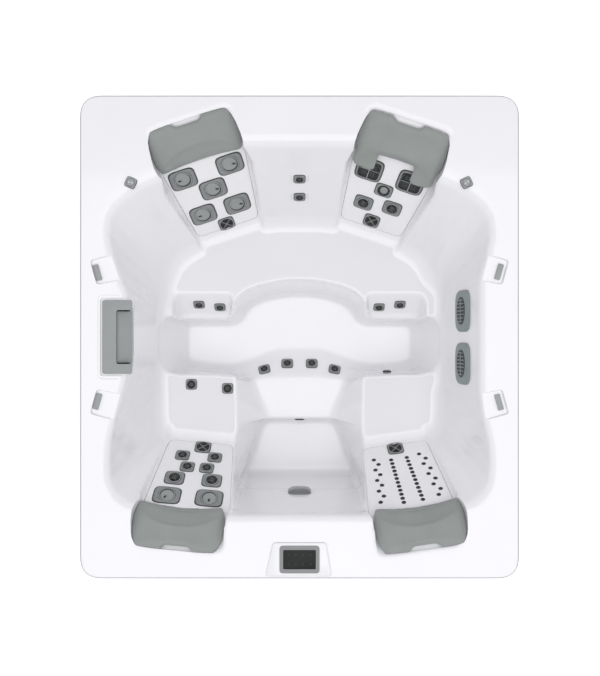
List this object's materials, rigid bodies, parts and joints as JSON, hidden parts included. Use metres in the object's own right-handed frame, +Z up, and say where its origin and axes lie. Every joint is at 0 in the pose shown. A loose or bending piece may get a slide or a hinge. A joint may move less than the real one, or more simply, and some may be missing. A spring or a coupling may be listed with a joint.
{
  "type": "acrylic hot tub",
  "caption": "Rectangular acrylic hot tub for six with moulded seats, removable jet panels, headrest pillows, two footwells, a weir filter and a clad cabinet.",
  "frame": {"origin": "middle of the footprint at ground level, under the base pan", "axes": "+X to the right and +Y to the back as seen from above with the control panel at the front, +Z up"},
  "size_m": [2.032, 2.235, 0.9339],
  "materials": {
    "white_acrylic": "glossy white acrylic",
    "pillow_foam": "soft grey-green foam skin",
    "jet_plastic": "mid grey moulded plastic",
    "grey_plastic": "grey moulded plastic",
    "light_grey_plastic": "light grey moulded plastic",
    "screen_black": "glossy black screen",
    "clear_lens": "frosted clear lens",
    "cabinet_plastic": "dark grey cladding",
    "black_plastic": "black moulded plastic",
    "frame_timber": "sawn timber",
    "motor_aluminium": "cast aluminium housing",
    "steel": "stainless steel",
    "filter_fabric": "pleated filter fabric"
  },
  "bodies": {
    "tub": {"acrylic_shell": "white_acrylic", "base_pan": "black_plastic", "support_frame": "frame_timber", "cabinet_back": "cabinet_plastic", "cabinet_left": "cabinet_plastic", "cabinet_right": "cabinet_plastic", "pump_motor": "motor_aluminium", "pump_wet_end": "black_plastic", "heater_tube": "steel", "control_box": "light_grey_plastic", "control_bezel": "light_grey_plastic", "control_screen": "screen_black", "waterfall_spout_back_left": "grey_plastic", "waterfall_spout_back_right": "grey_plastic", "waterfall_spout_front_left": "grey_plastic", "waterfall_spout_front_right": "grey_plastic", "light_lens": "clear_lens", "side_suction_back": "grey_plastic", "side_suction_front": "grey_plastic", "ridge_suction_cover": "grey_plastic", "footwell_suction_cover": "grey_plastic", "back_wall_jets": "jet_plastic", "foot_jets_left": "jet_plastic", "foot_jets_right": "jet_plastic", "calf_jets": "jet_plastic", "ridge_jets": "jet_plastic", "shoulder_jets_left": "jet_plastic", "shoulder_jets_right": "jet_plastic"},
    "jet_panel_back_left": {"jet_panel_back_left": "white_acrylic"},
    "pillow_back_left": {"pillow_back_left": "pillow_foam"},
    "jet_face_back_left_1": {"jet_face_back_left_1": "jet_plastic"},
    "jet_face_back_left_2": {"jet_face_back_left_2": "jet_plastic"},
    "jet_face_back_left_3": {"jet_face_back_left_3": "jet_plastic"},
    "jet_face_back_left_4": {"jet_face_back_left_4": "jet_plastic"},
    "jet_face_back_left_5": {"jet_face_back_left_5": "jet_plastic"},
    "jet_panel_back_right": {"jet_panel_back_right": "white_acrylic"},
    "pillow_back_right": {"pillow_back_right": "pillow_foam"},
    "jet_face_back_right_1": {"jet_face_back_right_1": "jet_plastic"},
    "jet_face_back_right_2": {"jet_face_back_right_2": "jet_plastic"},
    "jet_face_back_right_3": {"jet_face_back_right_3": "jet_plastic"},
    "jet_face_back_right_4": {"jet_face_back_right_4": "jet_plastic"},
    "jet_face_back_right_5": {"jet_face_back_right_5": "jet_plastic"},
    "jet_panel_front_left": {"jet_panel_front_left": "white_acrylic"},
    "pillow_front_left": {"pillow_front_left": "pillow_foam"},
    "jet_face_front_left_1": {"jet_face_front_left_1": "jet_plastic"},
    "jet_face_front_left_2": {"jet_face_front_left_2": "jet_plastic"},
    "jet_face_front_left_3": {"jet_face_front_left_3": "jet_plastic"},
    "jet_face_front_left_4": {"jet_face_front_left_4": "jet_plastic"},
    "jet_face_front_left_5": {"jet_face_front_left_5": "jet_plastic"},
    "jet_face_front_left_6": {"jet_face_front_left_6": "jet_plastic"},
    "jet_face_front_left_7": {"jet_face_front_left_7": "jet_plastic"},
    "jet_face_front_left_8": {"jet_face_front_left_8": "jet_plastic"},
    "jet_panel_front_right": {"jet_panel_front_right": "white_acrylic"},
    "pillow_front_right": {"pillow_front_right": "pillow_foam"},
    "filter_lid": {"filter_lid": "grey_plastic"},
    "weir_flap": {"weir_flap": "grey_plastic"},
    "filter_cartridge": {"filter_cartridge": "filter_fabric"},
    "cabinet_front": {"cabinet_front": "cabinet_plastic"},
    "drain_cap": {"drain_cap": "black_plastic"},
    "pump_impeller": {"pump_impeller": "grey_plastic"}
  },
  "joints": [
    {"name": "jet_panel_back_left_lift", "type": "slide", "parent": "tub", "child": "jet_panel_back_left", "axis": [0.2395, -0.7157, 0.6561], "range_m": [0, 0.2]},
    {"name": "pillow_back_left_lift", "type": "slide", "parent": "jet_panel_back_left", "child": "pillow_back_left", "axis": [0.1594, -0.4765, 0.8646], "range_m": [0, 0.15]},
    {"name": "jet_face_back_left_1_turn", "type": "hinge", "parent": "jet_panel_back_left", "child": "jet_face_back_left_1", "pos_m": [-0.56502, 0.76473, 0.74154], "axis": [0.2395, -0.7157, 0.6561], "continuous": true},
    {"name": "jet_face_back_left_2_turn", "type": "hinge", "parent": "jet_panel_back_left", "child": "jet_face_back_left_2", "pos_m": [-0.33783, 0.84075, 0.74154], "axis": [0.2395, -0.7157, 0.6561], "continuous": true},
    {"name": "jet_face_back_left_3_turn", "type": "hinge", "parent": "jet_panel_back_left", "child": "jet_face_back_left_3", "pos_m": [-0.42797, 0.73598, 0.66015], "axis": [0.2395, -0.7157, 0.6561], "continuous": true},
    {"name": "jet_face_back_left_4_turn", "type": "hinge", "parent": "jet_panel_back_left", "child": "jet_face_back_left_4", "pos_m": [-0.49038, 0.62519, 0.56207], "axis": [0.2395, -0.7157, 0.6561], "continuous": true},
    {"name": "jet_face_back_left_5_turn", "type": "hinge", "parent": "jet_panel_back_left", "child": "jet_face_back_left_5", "pos_m": [-0.31794, 0.68106, 0.56007], "axis": [0.2395, -0.7157, 0.6561], "continuous": true},
    {"name": "jet_panel_back_right_lift", "type": "slide", "parent": "tub", "child": "jet_panel_back_right", "axis": [-0.2395, -0.7157, 0.6561], "range_m": [0, 0.2]},
    {"name": "pillow_back_right_lift", "type": "slide", "parent": "jet_panel_back_right", "child": "pillow_back_right", "axis": [-0.1594, -0.4765, 0.8646], "range_m": [0, 0.15]},
    {"name": "jet_face_back_right_1_turn", "type": "hinge", "parent": "jet_panel_back_right", "child": "jet_face_back_right_1", "pos_m": [0.34172, 0.81896, 0.71919], "axis": [-0.2395, -0.7157, 0.6561], "range_deg": [0, 180]},
    {"name": "jet_face_back_right_2_turn", "type": "hinge", "parent": "jet_panel_back_right", "child": "jet_face_back_right_2", "pos_m": [0.54222, 0.7534, 0.72086], "axis": [-0.2395, -0.7157, 0.6561], "range_deg": [0, 180]},
    {"name": "jet_face_back_right_3_turn", "type": "hinge", "parent": "jet_panel_back_right", "child": "jet_face_back_right_3", "pos_m": [0.41936, 0.7303, 0.65081], "axis": [-0.2395, -0.7157, 0.6561], "range_deg": [0, 180]},
    {"name": "jet_face_back_right_4_turn", "type": "hinge", "parent": "jet_panel_back_right", "child": "jet_face_back_right_4", "pos_m": [0.32618, 0.68564, 0.56808], "axis": [-0.2395, -0.7157, 0.6561], "range_deg": [-90, 90]},
    {"name": "jet_face_back_right_5_turn", "type": "hinge", "parent": "jet_panel_back_right", "child": "jet_face_back_right_5", "pos_m": [0.46931, 0.65243, 0.58409], "axis": [-0.2395, -0.7157, 0.6561], "range_deg": [-90, 90]},
    {"name": "jet_panel_front_left_lift", "type": "slide", "parent": "tub", "child": "jet_panel_front_left", "axis": [0.0765, 0.795, 0.6018], "range_m": [0, 0.2]},
    {"name": "pillow_front_left_lift", "type": "slide", "parent": "jet_panel_front_left", "child": "pillow_front_left", "axis": [0.0414, 0.43, 0.9019], "range_m": [0, 0.15]},
    {"name": "jet_face_front_left_1_turn", "type": "hinge", "parent": "jet_panel_front_left", "child": "jet_face_front_left_1", "pos_m": [-0.59926, -0.60655, 0.54695], "axis": [0.0765, 0.795, 0.6018], "range_deg": [0, 120]},
    {"name": "jet_face_front_left_2_turn", "type": "hinge", "parent": "jet_panel_front_left", "child": "jet_face_front_left_2", "pos_m": [-0.43433, -0.61895, 0.54236], "axis": [0.0765, 0.795, 0.6018], "range_deg": [0, 120]},
    {"name": "jet_face_front_left_3_turn", "type": "hinge", "parent": "jet_panel_front_left", "child": "jet_face_front_left_3", "pos_m": [-0.56556, -0.65469, 0.60626], "axis": [0.0765, 0.795, 0.6018], "range_deg": [0, 120]},
    {"name": "jet_face_front_left_4_turn", "type": "hinge", "parent": "jet_panel_front_left", "child": "jet_face_front_left_4", "pos_m": [-0.46831, -0.66218, 0.60379], "axis": [0.0765, 0.795, 0.6018], "range_deg": [0, 120]},
    {"name": "jet_face_front_left_5_turn", "type": "hinge", "parent": "jet_panel_front_left", "child": "jet_face_front_left_5", "pos_m": [-0.61874, -0.6982, 0.6705], "axis": [0.0765, 0.795, 0.6018], "range_deg": [-90, 90]},
    {"name": "jet_face_front_left_6_turn", "type": "hinge", "parent": "jet_panel_front_left", "child": "jet_face_front_left_6", "pos_m": [-0.43481, -0.71244, 0.66591], "axis": [0.0765, 0.795, 0.6018], "range_deg": [-90, 90]},
    {"name": "jet_face_front_left_7_turn", "type": "hinge", "parent": "jet_panel_front_left", "child": "jet_face_front_left_7", "pos_m": [-0.63996, -0.76377, 0.75981], "axis": [0.0765, 0.795, 0.6018], "continuous": true},
    {"name": "jet_face_front_left_8_turn", "type": "hinge", "parent": "jet_panel_front_left", "child": "jet_face_front_left_8", "pos_m": [-0.43707, -0.7801, 0.75557], "axis": [0.0765, 0.795, 0.6018], "continuous": true},
    {"name": "jet_panel_front_right_lift", "type": "slide", "parent": "tub", "child": "jet_panel_front_right", "axis": [-0.1111, 0.7909, 0.6018], "range_m": [0, 0.2]},
    {"name": "pillow_front_right_lift", "type": "slide", "parent": "jet_panel_front_right", "child": "pillow_front_right", "axis": [-0.0601, 0.4278, 0.9019], "range_m": [0, 0.15]},
    {"name": "filter_lid_lift", "type": "slide", "parent": "tub", "child": "filter_lid", "axis": [0, 0, 1], "range_m": [0, 0.4]},
    {"name": "weir_flap_swing", "type": "hinge", "parent": "filter_lid", "child": "weir_flap", "pos_m": [-0.78538, 0, 0.8588], "axis": [0, 1, 0], "range_deg": [0, 55]},
    {"name": "filter_cartridge_lift", "type": "slide", "parent": "tub", "child": "filter_cartridge", "axis": [0, 0, 1], "range_m": [0, 0.36]},
    {"name": "cabinet_front_pull", "type": "slide", "parent": "tub", "child": "cabinet_front", "axis": [0, -1, 0], "range_m": [0, 0.3]},
    {"name": "drain_cap_turn", "type": "hinge", "parent": "tub", "child": "drain_cap", "pos_m": [0.967, -0.8476, 0.11], "axis": [1, 0, 0], "range_deg": [0, 360]},
    {"name": "pump_impeller_spin", "type": "hinge", "parent": "tub", "child": "pump_impeller", "pos_m": [-0.2967, -0.922, 0.137], "axis": [1, 0, 0], "continuous": true}
  ],
  "couplings": [
    {"joint": "filter_cartridge_lift", "follows": "filter_lid_lift", "ratio": 0.8}
  ]
}
